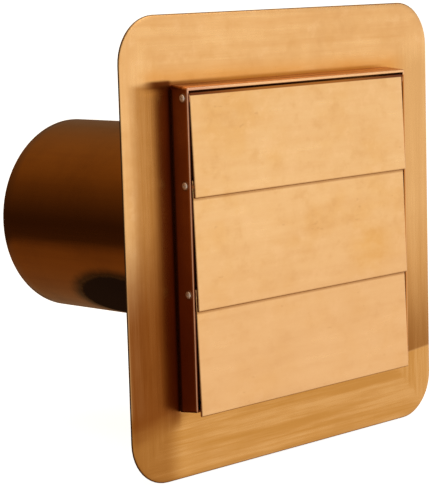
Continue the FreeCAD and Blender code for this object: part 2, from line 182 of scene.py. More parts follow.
# %% Flange surface
def flange_surface():
    """P(u, k) = (1 - w) * hole(u) + w * (edge(u) - inset * normal(u)), at depth y(k). The profile
    runs from the hole over the flat to the margin, round the fold and back to the hole behind."""
    edge_x, edge_z, nx, nz = square_path(HALF_FLANGE, CORNER)
    bearing = np.arctan2(edge_z, edge_x)
    hole = 49.7 * MM
    margin, before_fold, behind_fold = 9 * MM, 3 * MM, 4 * MM
    out, along = half_turn(GAUGE)
    flat = np.linspace(0.0, 1.0, 9)[:-1]
    w = np.concatenate([[0.0], flat, np.ones(2 + len(out) + 3), flat[::-1][:-1]])
    rim_inset = np.concatenate([[margin, before_fold], GAUGE - out, [behind_fold, HEM, HEM]])
    inset = np.concatenate([[0.0], flat * margin, rim_inset, flat[::-1][:-1] * margin])
    rim_y = np.concatenate([[FRONT, FRONT], -GAUGE + along, [0.0, 0.0, -GAUGE]])
    y = np.concatenate([[-GAUGE], np.full(8, FRONT), rim_y, np.full(7, -GAUGE)])
    x = (1 - w)[None] * (hole * np.cos(bearing))[:, None] + w[None] * (
        edge_x[:, None] - inset[None] * nx[:, None])
    z = (1 - w)[None] * (hole * np.sin(bearing))[:, None] + w[None] * (
        edge_z[:, None] - inset[None] * nz[:, None])
    return np.stack([x, np.broadcast_to(y, x.shape), z], -1)


flange = piece("flange_sheet", [grid_mesh("flange", flange_surface(), True, True)])
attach(flange, "casing")
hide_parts("wall_flange")


# %% [markdown]
# ## The tailpipe
# The pipe is a strip of sheet rolled into a round and lapped at a seam, where the hidden edge lies
# inside. It could be a plain turned profile, but the seam is the mark of a rolled pipe. So the
# strip is wound through one full turn and a hair more, and its start dips inwards under its end.

# %% Tailpipe surface
def pipe_surface():
    """Profile (radius, y) wound round Y. At the start of the turn the radius is smaller by part of
    the gauge, which eases back to nothing as the square of the way that is left."""
    seam = math.radians(-52.0)
    past_full_turn = 0.00016
    mouth_ease = 0.35 * MM
    turn = np.linspace(-past_full_turn, 2 * math.pi, 150)
    dip = GAUGE * 1.02 * (1 - np.clip((turn + 0.02) / 0.10, 0, 1)) ** 2
    long = np.concatenate([np.linspace(0.4 * MM, PIPE_END - mouth_ease, 24), [PIPE_END]])
    radius_out = np.concatenate([np.full(24, 50.3 * MM), [50.12 * MM]])
    inner = np.concatenate([[49.78 * MM], np.full(24, 49.65 * MM)])
    y = np.concatenate([long, long[::-1]])
    radius = np.concatenate([radius_out, inner])
    r = radius[None] - dip[:, None]
    angle = (turn + seam)[:, None]
    return np.stack([r * np.cos(angle), np.broadcast_to(y, r.shape), r * np.sin(angle)], -1)


def collar_surface():
    """The pipe's end inside the hood: a turned profile with the flare over the flange."""
    radius = np.array([50.25, 49.7, 49.7, 50.0, 56.1, 56.3, 56.1, 50.4, 49.45, 49.05, 49.05, 49.65]) * MM
    y = np.array([0.4, -0.65, -1.2, -1.31, -1.31, -1.62, -1.93, -1.95, -1.9, -1.5, -0.4, 0.4]) * MM
    angle = np.linspace(0, 2 * math.pi, 97)[:-1, None]
    return np.stack([radius * np.cos(angle), np.broadcast_to(y, (96, 12)), radius * np.sin(angle)], -1)


pipe = piece("tailpipe_sheet", [
    grid_mesh("wound", pipe_surface(), False, True, caps=True),
    grid_mesh("collar", collar_surface(), True, True),
])
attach(pipe, "casing")
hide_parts("tailpipe")


# %% [markdown]
# ## The hood
# The hood's top and cheeks are one strip folded at the two upper corners, hemmed inwards at the
# front and turned inwards at the back as feet that are soldered to the flange. The sill closes it
# below. The same profile serves both: carried down, across and down for the strip, and straight
# across for the sill, so that their hems line up as they do on the real vent.

# %% Hood surfaces
def sheet_profile():
    """(inset, y) round the cut edge: outside face, rolled rim, hem, inside face, foot."""
    out, along = half_turn(GAUGE, 12, 0.45)
    angle = np.linspace(0, math.pi / 2, 5)
    fold = 1.0 * MM
    inset = np.concatenate([
        fold - fold * np.sin(angle), [0, 0, 0], GAUGE + along, [2 * GAUGE, 2 * GAUGE, GAUGE, GAUGE],
        [GAUGE, FOOT, FOOT]])
    y = np.concatenate([
        FRONT - fold + fold * np.cos(angle), [-3.5 * MM, -7 * MM, -10 * MM], RIM + GAUGE - out,
        [-9 * MM, RIM + HEM, RIM + HEM, -4 * MM], [FRONT - GAUGE, FRONT - GAUGE, FRONT]])
    return inset, y


def taper(y):
    """Height lost from the flange to the rim, in proportion to the distance."""
    return 1.1 * MM * (FRONT - y) / (FRONT - RIM)


def hood_surface():
    """The profile carried up the left cheek, round two corners and down the right one. The
    corner's radius shrinks with the inset, so the hem and the foot are mitred there. Along the top
    the rolled rim hangs 0.3 mm lower at its front, where the real one was pressed less flat."""
    inset, y = sheet_profile()
    bend, tightest, foot_rise = 1.2 * MM, 0.08 * MM, 7.6 * MM
    half_x = HALF_HOOD - inset
    forward = np.clip((-11.0 * MM - y) / (1.1 * MM), 0, 1)
    inward = np.clip((inset - 0.3 * MM) / (0.9 * MM), 0, 1)
    top = HOOD_TOP - taper(y) - inset - 0.3 * MM * forward * inward
    foot = -HOOD_TOP + taper(y) + GAUGE
    foot = np.where(inset > 3 * GAUGE, foot + foot_rise, foot)
    corner = np.maximum(bend - inset, tightest)
    up = np.linspace(0, 1, 9)[:, None]
    turn = np.linspace(0, math.pi / 2, 8)[:, None]
    left_z = foot + up * (top - corner - foot)
    left_x = -half_x + 0 * up
    arc_x = -half_x + corner - corner * np.cos(turn)
    arc_z = top - corner + corner * np.sin(turn)
    across = np.linspace(-1, 1, 15)[1:-1, None] * (half_x - corner)
    x = np.vstack([left_x, arc_x[1:], across, -arc_x[::-1], -left_x[::-1][1:]])
    z = np.vstack([left_z, arc_z[1:], top + 0 * across, arc_z[::-1], left_z[::-1][1:]])
    return np.stack([x, np.broadcast_to(y, x.shape), z], -1)


def sill_surface():
    """The same profile upside down, carried straight across. Its outside reaches the cheeks' outer
    faces, its hem stops inside their hems, and its foot stops 1.5 mm short of them."""
    inset, y = sheet_profile()
    span = np.where(inset > 3 * GAUGE, HALF_HOOD - 1.5 * MM, HALF_HOOD)
    span = np.where((inset > 1.01 * GAUGE) & (y < -3 * MM), HALF_HOOD - 2 * GAUGE, span)
    across = np.linspace(-1, 1, 17)[:, None] * span[None]
    z = -HOOD_TOP + taper(y) + inset + 0 * across
    return np.stack([across, np.broadcast_to(y, across.shape), z], -1)


def tab_surface(side):
    """The sill's tab: a small plate against the inside of the cheek, with round upper corners."""
    front, back, low, high = RIM + 0.8 * MM, FRONT - GAUGE - 0.8 * MM, -HOOD_TOP + 1.2 * MM, -70.2 * MM
    turn = np.linspace(0, math.pi / 2, 5)
    r = 1.5 * MM
    y = np.concatenate([[front], front + r - r * np.cos(turn), back - r + r * np.sin(turn), [back]])
    z = np.concatenate([[low], high - r + r * np.sin(turn), high - r + r * np.cos(turn), [low]])
    x = side * (HALF_HOOD - np.array([2.02, 2.98]) * GAUGE)[:, None] + 0 * y[None]
    return np.stack([x, np.broadcast_to(y, x.shape), np.broadcast_to(z, x.shape)], -1)


hood = piece("hood_sheet", [grid_mesh("hood", hood_surface(), False, True, caps=True)])
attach(hood, "casing")
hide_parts("hood_shell")
sill = piece("sill_sheet", [
    grid_mesh("sill", sill_surface(), False, True, caps=True),
    grid_mesh("tab_left", tab_surface(-1), False, True, caps=True),
    grid_mesh("tab_right", tab_surface(1), False, True, caps=True),
])
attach(sill, "casing")
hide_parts("hood_sill")


# %% [markdown]
# ## The louvres
# Each louvre is a flat flap with its two sides folded back as ears and its lower edge hemmed, and
# it hangs by its ears from two rivets. The face could stay a flat plate, but hand-folded copper is
# never quite flat, so its middle bows by a few hundredths of a millimetre and the reflections
# wander. The face is one profile carried across, and each ear is a plate with a round head.

# %% Louvre surfaces
LEAN = 1.9 * MM  # the lower edge stands further out than the upper one
RISE = 2.3 * MM  # the upper edge above the pivot
EAR = 2.9 * MM  # radius of an ear's round head


def front_y(z, pivot, drop):
    """Front of the face at height z: it kicks forward in a straight line from top to bottom."""
    return PIVOT_Y - EAR - LEAN * (pivot + RISE - z) / (drop + RISE)


def louver_face(pivot, drop, half, phase):
    """Profile (y, z) down the front, round the hem and up the back, carried across from side to
    side: 13 points down, 7 round, 2 where the hem ends and 2 up the back. Within a bend of each side
    the front falls back on a quarter circle, and two sines over the width bow it out of flat."""
    out, along = half_turn(GAUGE, 8)
    down = np.linspace(0, 1, 13)
    z_front = pivot + RISE + down * (GAUGE - drop - RISE)
    hem_low, hem = pivot - drop, 6 * MM
    z = np.concatenate([
        z_front, hem_low + GAUGE - out[1:-1], [hem_low + GAUGE, hem_low + hem, hem_low + hem],
        [pivot - 0.5 * drop, pivot + RISE]])
    y = front_y(z, pivot, drop)
    y[13:20] += GAUGE + along[1:-1]
    y[20:22] += 2 * GAUGE
    y[22:] += GAUGE
    bend = 0.62 * MM
    ends = half - bend + bend * np.sin(np.linspace(0, math.pi / 2, 6))
    x = np.concatenate([-ends[::-1], np.linspace(-half + bend, half - bend, 25)[1:-1], ends])
    back = bend - np.sqrt(np.maximum(bend ** 2 - np.maximum(np.abs(x) - half + bend, 0) ** 2, 0))
    fall = np.zeros(len(y))
    fall[:13] = 1.0
    fall[13:17] = 0.6
    xx = np.broadcast_to(x[:, None], (len(x), len(y)))
    height = (pivot - z) / drop
    bow = (0.045 * np.sin(3.0 * xx / half + phase) * np.sin(math.pi * np.clip(height, 0, 1))
           + 0.02 * np.sin(9.0 * xx / half - 2 * phase) * height) * MM
    yy = y[None] + back[:, None] * fall[None] + bow * (1 - (xx / half) ** 8)
    return np.stack([xx, yy, np.broadcast_to(z, xx.shape)], -1)


def louver_ear(pivot, drop, ear_drop, half, side):
    """Outline of the ear, a half circle about the pivot over a tapering strip with a round tip,
    between its outer and inner faces."""
    over = np.linspace(math.radians(155), 0, 15)
    behind_face, shoulder, r = 0.5 * MM, 4 * MM, 1.2 * MM
    tip_y = front_y(pivot - ear_drop, pivot, drop) + 3.2 * MM
    turn = np.linspace(0, math.pi / 2, 5)
    y = np.concatenate([
        PIVOT_Y + EAR * np.cos(over), [PIVOT_Y + EAR], tip_y - r + r * np.cos(turn),
        [front_y(pivot - ear_drop, pivot, drop) + behind_face, front_y(pivot, pivot, drop) + behind_face]])
    z = np.concatenate([
        pivot + EAR * np.sin(over), [pivot - shoulder], pivot - ear_drop + r - r * np.sin(turn),
        [pivot - ear_drop, pivot]])
    x = side * np.array([half - 0.01 * MM, half - GAUGE])[:, None] + 0 * y[None]
    return np.stack([x, np.broadcast_to(y, x.shape), np.broadcast_to(z, x.shape)], -1)


louvers = {}
for level, drop, ear_drop, phase in (
    ("upper", 45.7 * MM, 36.0 * MM, 0.4),
    ("middle", 58.3 * MM, 46.4 * MM, 1.7),
    ("lower", 57.2 * MM, 49.0 * MM, 2.9),
):
    pivot = PIVOT_Z[level]
    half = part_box(f"louver_{level}")[1].x
    louvers[level] = piece(f"louver_sheet_{level}", [
        grid_mesh("face", louver_face(pivot, drop, half, phase), False, True, caps=True),
        grid_mesh("ear_left", louver_ear(pivot, drop, ear_drop, half, -1), False, True, caps=True),
        grid_mesh("ear_right", louver_ear(pivot, drop, ear_drop, half, 1), False, True, caps=True),
    ])
    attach(louvers[level], f"louver_{level}")
    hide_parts(f"louver_{level}")


# %% [markdown]
# ## The pivots
# Each ear hangs on a blind rivet: a domed head outside the cheek, a washer that keeps the ear off
# the cheek, a bulb inside the ear, and the steel mandrel that formed it. All are turned profiles,
# a radius given along the rivet's axis, carried round in a circle.

# %% Turned pieces
def turned(profile, centre, side, steps=32):
    """(depth, radius) pairs in mm turned round an axis along X; depth counts inwards."""
    depth, radius = np.array(profile).T * MM
    angle = np.linspace(0, 2 * math.pi, steps + 1)[:-1, None]
    x = centre[0] - side * depth[None] + 0 * angle
    return np.stack([x, centre[1] + radius * np.cos(angle), centre[2] + radius * np.sin(angle)], -1)


dome = np.linspace(0.3, math.pi / 2, 7)
RIVET = [(-0.5, 0.6), *zip(-0.28 - 0.52 * np.cos(dome), 1.55 * np.sin(dome)), (-0.2, 1.9), (-0.14, 2.25),
         (0.0, 2.38), (0.0, 1.2), (2.75, 1.2), (2.85, 1.6), (3.3, 1.75), (4.2, 1.7), (4.6, 1.2), (4.7, 0.6)]
WASHER = [(1.32, 1.25), (1.3, 1.4), (1.3, 3.05), (1.38, 3.18), (1.82, 3.18), (1.9, 3.05), (1.9, 1.4),
          (1.88, 1.25)]
MANDREL = [(-0.55, 0.0), (-0.56, 0.5), (-0.5, 0.6), (5.0, 0.6), (5.24, 0.4), (5.25, 0.0)]
FIXINGS = (("pivot_rivet", RIVET, "rivet_copper"), ("spacer_washer", WASHER, "washer_copper"),
           ("rivet_mandrel", MANDREL, "mandrel_steel"))
turned_pieces = {}
for kind, profile, slot in FIXINGS:
    for level, pivot in PIVOT_Z.items():
        for hand, side in (("left", -1), ("right", 1)):
            points = turned(profile, (side * HALF_HOOD, PIVOT_Y, pivot), side)
            mesh = grid_mesh("turned", points, True, kind != "rivet_mandrel")
            name = f"{kind}_{level}_{hand}"
            made = piece(f"turned_{name}", [mesh], smooth=50.0)
            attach(made, "casing")
            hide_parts(name)
            turned_pieces.setdefault(kind, []).append(made)


# %% [markdown]
# ## Copper
# Sheet copper is a mirror that the rolling mill has scratched in one direction and that hands and
# air have stained. The colour therefore stays close to one tint, and the detail is in the fine
# streaks along the rolling direction, the cloudy tarnish and the roughness that goes with both.

# %% A material and its textures
def new_material(name):
    """A material with one Principled shader, and the node tree that feeds it."""
    material = bpy.data.materials.new(name)
    material.use_nodes = True
    tree = material.node_tree
    tree.nodes.clear()
    shader = tree.nodes.new("ShaderNodeBsdfPrincipled")
    output = tree.nodes.new("ShaderNodeOutputMaterial")
    tree.links.new(shader.outputs["BSDF"], output.inputs["Surface"])
    return material, tree, shader


def noise(tree, place, stretch, scale, detail=4.0, rough=0.55):
    """Noise of the object's own coordinates, in metres, stretched along chosen axes."""
    mapping = tree.nodes.new("ShaderNodeMapping")
    mapping.inputs["Scale"].default_value = stretch
    tree.links.new(place, mapping.inputs["Vector"])
    texture = tree.nodes.new("ShaderNodeTexNoise")
    texture.inputs["Scale"].default_value = scale
    texture.inputs["Detail"].default_value = detail
    texture.inputs["Roughness"].default_value = rough
    tree.links.new(mapping.outputs["Vector"], texture.inputs["Vector"])
    return texture.outputs["Fac"]


# %% [markdown]
# Stains need masks, and masks are sums. Blender does each sum in a node, which reads better here
# as a function: a mask is then one line, made from the coordinates by soft steps and products.

# %% Sums and masks
def ranged(tree, value, low, high, to_low=0.0, to_high=1.0):
    """Map a value's range on to another, clamped."""
    node = tree.nodes.new("ShaderNodeMapRange")
    for socket, number in zip(("From Min", "From Max", "To Min", "To Max"), (low, high, to_low, to_high)):
        node.inputs[socket].default_value = number
    tree.links.new(value, node.inputs["Value"])
    return node.outputs["Result"]


def blend(tree, fac, under, over):
    """Colour mix: over covers under where fac is 1. Either may be a socket or a colour."""
    node = tree.nodes.new("ShaderNodeMix")
    node.data_type = "RGBA"
    tree.links.new(fac, node.inputs["Factor"])
    for socket, colour in ((node.inputs[6], under), (node.inputs[7], over)):
        if isinstance(colour, tuple):
            socket.default_value = (*colour, 1.0)
        else:
            tree.links.new(colour, socket)
    return node.outputs[2]


def combine(tree, operation, a, b):
    """One Math node; a and b are numbers or sockets."""
    node = tree.nodes.new("ShaderNodeMath")
    node.operation = operation
    for socket, value in ((node.inputs[0], a), (node.inputs[1], b)):
        if isinstance(value, (int, float)):
            socket.default_value = value
        else:
            tree.links.new(value, socket)
    return node.outputs[0]


def soft(tree, value, low, high):
    """0 at low and 1 at high with a smooth step between; low may be the larger number."""
    node = tree.nodes.new("ShaderNodeMapRange")
    node.interpolation_type = "SMOOTHSTEP"
    node.inputs["From Min"].default_value = low
    node.inputs["From Max"].default_value = high
    tree.links.new(value, node.inputs["Value"])
    return node.outputs["Result"]


def chain(tree, operation, values):
    """The same operation over all the values, from the first one on."""
    result = values[0]
    for value in values[1:]:
        result = combine(tree, operation, result, value)
    return result


def product(tree, *values):
    """All the values multiplied."""
    return chain(tree, "MULTIPLY", values)


def plus(tree, *values):
    """All the values added."""
    return chain(tree, "ADD", values)


def minus(tree, a, b):
    """a less b."""
    return combine(tree, "SUBTRACT", a, b)


def largest(tree, *values):
    """The greatest of the values."""
    return chain(tree, "MAXIMUM", values)


def magnitude(tree, value):
    """The value without its sign."""
    return combine(tree, "ABSOLUTE", value, 0.0)


def axes_of(tree, place):
    """The x, y and z of a place, each a socket of its own."""
    split = tree.nodes.new("ShaderNodeSeparateXYZ")
    tree.links.new(place, split.inputs[0])
    return split.outputs["X"], split.outputs["Y"], split.outputs["Z"]


def ball_distance(tree, place, centre, radii):
    """Distance from an ellipsoid's centre, 1 on its surface: |(place - centre) / radii|."""
    shift = tree.nodes.new("ShaderNodeMapping")
    shift.vector_type = "TEXTURE"
    shift.inputs["Location"].default_value = centre
    shift.inputs["Scale"].default_value = radii
    tree.links.new(place, shift.inputs["Vector"])
    away = tree.nodes.new("ShaderNodeVectorMath")
    away.operation = "LENGTH"
    tree.links.new(shift.outputs["Vector"], away.inputs[0])
    return away.outputs["Value"]


def mixed_value(tree, fac, under, over):
    """Number mix: over replaces under where fac is 1."""
    node = tree.nodes.new("ShaderNodeMix")
    tree.links.new(fac, node.inputs[0])
    tree.links.new(under, node.inputs[2])
    tree.links.new(over, node.inputs[3])
    return node.outputs[0]


# %% [markdown]
# ## Finishes
# Each finish is the same copper with its own three tints, from bright to tarnished, and its own
# grain. Grain is the stretch of the noise along x, y and z: a small number draws it out into
# streaks that way, so the louvres' runs across, the pipe's along it, and the flange's turns at its
# corners as it would on four brushed strips.

# %% Copper sheet
FINE, BROAD = 1500.0, 260.0


def copper(name, bright, warm, tarnish, grain=(1.0, 1.0, 0.02), turned_grain=None, cloudy=0.5,
           cloud_size=26.0, roughness=0.26, streak=0.35, bump=0.12, marks=None):
    """Sheet copper: bright metal, warmer streaks along the grain, and clouds of tarnish. A turned
    grain takes over past the diagonals |x| = |z|. marks is a function that returns (mask, colour,
    extra roughness) layers to lay over it."""
    material, tree, shader = new_material(name)
    place = tree.nodes.new("ShaderNodeTexCoord").outputs["Object"]
    fine = noise(tree, place, grain, FINE, 3.0)
    broad = noise(tree, place, grain, BROAD, 2.0)
    if turned_grain:
        x, _, z = axes_of(tree, place)
        mitre = soft(tree, minus(tree, magnitude(tree, x), magnitude(tree, z)), 0.003, -0.003)
        fine = mixed_value(tree, mitre, fine, noise(tree, place, turned_grain, FINE, 3.0))
        broad = mixed_value(tree, mitre, broad, noise(tree, place, turned_grain, BROAD, 2.0))
    clouds = noise(tree, place, (1, 1, 1), cloud_size, 5.0, 0.6)
    spots = noise(tree, place, (1, 1, 1), 190.0, 3.0, 0.5)
    streaks = plus(tree, product(tree, fine, 0.35), product(tree, broad, 0.65))
    base = blend(tree, ranged(tree, streaks, 0.35, 0.65, 0.0, streak), bright, warm)
    stain = product(tree, ranged(tree, clouds, 0.42, 0.72, 0.0, 1.0),
                    ranged(tree, spots, 0.3, 0.7, 0.45, 1.0), cloudy)
    colour = blend(tree, stain, base, tarnish)
    rough = plus(tree, ranged(tree, streaks, 0.3, 0.7, roughness - 0.05, roughness + 0.07),
                 product(tree, stain, 0.16))
    shader.inputs["Metallic"].default_value = 1.0
    for mask, over, rougher in (marks(tree, place, streaks, clouds, spots) if marks else ()):
        colour = blend(tree, mask, colour, over)
        rough = plus(tree, rough, product(tree, mask, rougher))
    tree.links.new(colour, shader.inputs["Base Color"])
    tree.links.new(rough, shader.inputs["Roughness"])
    height = tree.nodes.new("ShaderNodeBump")
    height.inputs["Strength"].default_value = bump
    height.inputs["Distance"].default_value = 0.2 * MM
    tree.links.new(plus(tree, streaks, product(tree, clouds, 0.4)), height.inputs["Height"])
    tree.links.new(height.outputs["Normal"], shader.inputs["Normal"])
    print(f"{name}: {len(tree.nodes)} nodes")
    return material


finish = {}

# %% [markdown]
# ## Stains and painted light
# The hood is soldered to the flange, and beside the joint, most at the left and above the top, the flange
# carries painted reflection of the hood and painted shade, in browns. Each mark is a soft mask, a number
# from 0 to 1 made from the object's own coordinates in metres, and its colour is laid over the sheet's
# where the mask is 1.
# Two numbers with the larger first make a mask that fades as its coordinate grows.
#
# Polished copper also mirrors the hood and the room in its flat faces. Broad parts of that are
# painted as browned strips here, so that they look right from the front left.

# %% Stains and painted light of the flange
def flange_marks_and_painted_light(tree, place, streaks, clouds, spots):
    """Painted reflection and shade above and beside the hood, as browned strips at its left, right and
    foot, painted shade inside the hood, the flange's even back and a painted dark reflection round its rim."""
    x, y, z = axes_of(tree, place)
    smear = noise(tree, place, (0.22, 1.0, 1.0), 75.0, 3.0, 0.6)
    mottle = noise(tree, place, (0.8, 1.0, 1.0), 95.0, 5.0, 0.65)
    lines = ranged(tree, streaks, 0.35, 0.65, 0.80, 1.0)

    # beside the hood's left cheek, between a level end above and a slanting one below, and down to the
    # corner below its foot: painted reflection of the dark cheek and painted shadow of the hood
    height = plus(tree, z, product(tree, minus(tree, smear, 0.5), 0.010))
    slant = soft(tree, minus(tree, height, product(tree, x, 0.25)), -0.0645, -0.0510)
    beside = soft(tree, x, -0.0755, -0.0785)
    level = product(tree, soft(tree, height, 0.0785, 0.0745), slant, beside)
    golden = product(tree, soft(tree, x, -0.1050, -0.0955), level, lines)
    brown = product(tree, soft(tree, x, -0.0915, -0.0775), level, lines)
    left_low = product(tree, soft(tree, x, -0.0680, -0.0790), soft(tree, z, 0.025, -0.035), slant,
                       soft(tree, x, -0.1085, -0.1070), ranged(tree, streaks, 0.38, 0.60, 0.90, 1.0))
    left_top_reflection = product(tree, soft(tree, height, 0.0790, 0.0768), soft(tree, height, 0.0725, 0.0750),
                    soft(tree, x, -0.0990, -0.0850), beside)
    foot = product(tree, soft(tree, x, -0.0740, -0.0880), soft(tree, z, -0.070, -0.078), lines)

    # along the soldered joint above the hood: a painted reflection of the hood in a band, and painted shade
    # in the corner of the joint
    above = soft(tree, z, 0.0700, 0.0755)
    painted_reflection_above = product(tree, soft(tree, z, 0.0868, 0.0778), 0.80, soft(tree, x, 0.095, 0.076),
                     soft(tree, x, -0.100, -0.084), above, ranged(tree, smear, 0.34, 0.62, 0.50, 1.0))
    seam = product(tree, soft(tree, z, 0.0784, 0.0768), soft(tree, x, -0.088, -0.079),
                   soft(tree, x, 0.080, 0.060), above, 0.9)
    joint_shade_tint = blend(tree, ranged(tree, x, -0.078, -0.035), (0.24, 0.070, 0.010), (0.52, 0.20, 0.028))

    # right of the hood, down to a step level with its foot, and the strip below both: painted reflections,
    # as browned strips
    step = minus(tree, z, product(tree, x, 0.07))
    strip = product(tree, soft(tree, x, 0.0765, 0.0775), soft(tree, step, -0.0805, -0.0790))
    mitre = soft(tree, plus(tree, x, z), 0.002, -0.004)
    corner = product(tree, soft(tree, x, 0.0700, 0.0765), soft(tree, step, -0.0790, -0.0805))
    below = product(tree, largest(tree, corner, product(tree, mitre, soft(tree, z, -0.074, -0.078))),
                    ranged(tree, streaks, 0.40, 0.60, 0.66, 1.0))
    umber = product(tree, strip, soft(tree, z, -0.022, -0.073),
                    ranged(tree, streaks, 0.38, 0.60, 0.80, 1.0), soft(tree, x, 0.1085, 0.1070))
    beige = blend(tree, soft(tree, z, 0.012, -0.034), (0.73, 0.400, 0.146), (0.60, 0.290, 0.084))
    right = product(tree, strip, soft(tree, z, 0.090, 0.074),
                    soft(tree, minus(tree, x, z), -0.004, 0.004),
                    ranged(tree, streaks, 0.38, 0.60, 0.72, 1.0))

    # painted shade inside the hood, an even tone on the back, and a painted dark reflection round the rim
    # of the rounded square
    inside = product(tree, soft(tree, magnitude(tree, x), 0.0775, 0.0765),
                     soft(tree, magnitude(tree, z), 0.0765, 0.0755))
    behind = soft(tree, y, -0.0011, -0.0008)
    straight = HALF_FLANGE - CORNER
    past_x = largest(tree, minus(tree, magnitude(tree, x), straight), 0.0)
    past_z = largest(tree, minus(tree, magnitude(tree, z), straight), 0.0)
    reach = combine(tree, "POWER", plus(tree, product(tree, past_x, past_x),
                                        product(tree, past_z, past_z)), 0.5)
    outer = product(tree, soft(tree, reach, 0.0212, 0.0217), soft(tree, y, -0.00125, -0.0009), 0.9)
    # the two mottles and the even back are the sheet's own tone; the other layers are painted reflection
    # and shade
    return [
        (product(tree, soft(tree, mottle, 0.50, 0.70), 0.45), (0.76, 0.40, 0.135), 0.04),
        (product(tree, soft(tree, mottle, 0.46, 0.32), 0.30), (0.96, 0.60, 0.29), 0.0),
        (below, (0.58, 0.265, 0.055), 0.0),
        (right, beige, 0.0),
        (umber, (0.33, 0.125, 0.021), 0.0),
        (foot, (0.38, 0.150, 0.028), 0.0),
        (golden, (0.45, 0.182, 0.034), 0.0),
        (painted_reflection_above, (0.78, 0.340, 0.070), 0.04),
        (seam, joint_shade_tint, 0.04),
        (left_low, (0.225, 0.062, 0.007), 0.02),
        (brown, (0.185, 0.048, 0.006), 0.0),
        (left_top_reflection, (0.13, 0.030, 0.004), 0.02),
        (product(tree, inside, 0.75), (0.50, 0.120, 0.030), 0.15),
        (product(tree, behind, 0.96), (0.46, 0.205, 0.080), 0.12),
        (outer, (0.07, 0.034, 0.014), 0.10),
    ]


finish["flange_sheet"] = copper(
    "flange_copper", (0.885, 0.53, 0.225), (0.80, 0.42, 0.15), (0.66, 0.32, 0.10),
    grain=(1.0, 1.0, 0.03), turned_grain=(0.03, 1.0, 1.0), cloudy=0.5, streak=0.6,
    marks=flange_marks_and_painted_light)

# %% [markdown]
# The hood's copper is tinted darker than the flange's, and its flats darker still, as a painted dark
# reflection of the dim room, and its inside is painted dark as shade. The front rims carry a painted
# highlight, so they are its palest metal: pink along the left cheek, paler to the right. The top catches
# more light the further right it goes.

# %% Painted light and marks of the hood
def hood_marks_and_painted_light(tree, place, streaks, clouds, spots):
    """Painted dark reflection on the flats; along the top a painted reflection, a brown line of painted
    reflection and a painted highlight; a near-black band at the joint to the flange; painted shade inside;
    and a painted highlight along the front rims."""
    x, y, z = axes_of(tree, place)
    back = soft(tree, y, -0.01195, -0.0110)
    rim = soft(tree, y, -0.01165, -0.01225)
    wide = magnitude(tree, x)
    above = soft(tree, z, 0.0738, 0.0745)

    # the front rims, with a painted highlight
    edge = largest(tree, soft(tree, wide, 0.0763, 0.0768), soft(tree, z, 0.0720, 0.0728))
    rim_highlight = product(tree, rim, edge, soft(tree, x, 0.0768, 0.0760),
                   ranged(tree, z, 0.000, 0.060, 0.42, 0.85))
    rim_highlight_tint = blend(tree, ranged(tree, x, -0.072, -0.035), (0.74, 0.40, 0.25), (1.0, 0.60, 0.30))
    pale = product(tree, rim, soft(tree, x, 0.0765, 0.0768))

    # the inside in painted shade, darker to the left; painted dark reflection on the flats; a near-black
    # band at the joint to the flange
    inner = product(tree, soft(tree, wide, 0.0769, 0.0765), soft(tree, z, 0.0738, 0.0730))
    shade = blend(tree, ranged(tree, x, 0.000, 0.070), (0.13, 0.026, 0.005), (0.62, 0.250, 0.060))
    flats_dark_reflection = product(tree, back, ranged(tree, clouds, 0.3, 0.7, 0.55, 0.95))
    joint = product(tree, soft(tree, y, -0.0036, -0.0022), soft(tree, z, 0.0745, 0.0735))

    # the top: a painted reflection, brighter to the right, a brown line of painted reflection and a painted
    # highlight at its front
    top = product(tree, back, above, 0.95)
    top_reflection_tint = blend(tree, ranged(tree, x, -0.072, 0.050), (0.25, 0.080, 0.012), (0.88, 0.49, 0.17))
    line = product(tree, soft(tree, y, -0.0055, -0.0075), soft(tree, y, -0.0098, -0.0088), above,
                   ranged(tree, x, 0.010, 0.070, 0.95, 0.3))
    top_highlight = product(tree, soft(tree, y, -0.0085, -0.0098), above, soft(tree, x, 0.0768, 0.0760), 0.85)
    # all layers but the joint's near-black band are painted light
    return [
        (flats_dark_reflection, (0.33, 0.105, 0.034), 0.03),
        (top, top_reflection_tint, 0.03),
        (line, (0.36, 0.120, 0.020), 0.03),
        (top_highlight, (0.86, 0.44, 0.21), 0.03),
        (product(tree, joint, 0.93), (0.050, 0.016, 0.007), 0.15),
        (product(tree, inner, 0.97), shade, 0.05),
        (rim_highlight, rim_highlight_tint, 0.05),
        (pale, (0.86, 0.53, 0.25), 0.0),
    ]


# the hood's tints are darker than the flange's: painted dark reflection of the dim room
finish["hood_sheet"] = copper(
    "hood_copper", (0.70, 0.33, 0.15), (0.52, 0.20, 0.08), (0.30, 0.09, 0.03),
    grain=(1.0, 1.0, 0.05), cloudy=0.5, marks=hood_marks_and_painted_light)

# %% [markdown]
# The louvres are the faces that hands push open. Fingers leave warm clouds, one thumb has left a golden
# patch at the right of the middle louvre, and nicks are few and small. Where one louvre laps over the next,
# a thin brown line is painted shade, and the topmost edge is darkened with painted shade from the hood's
# rim.

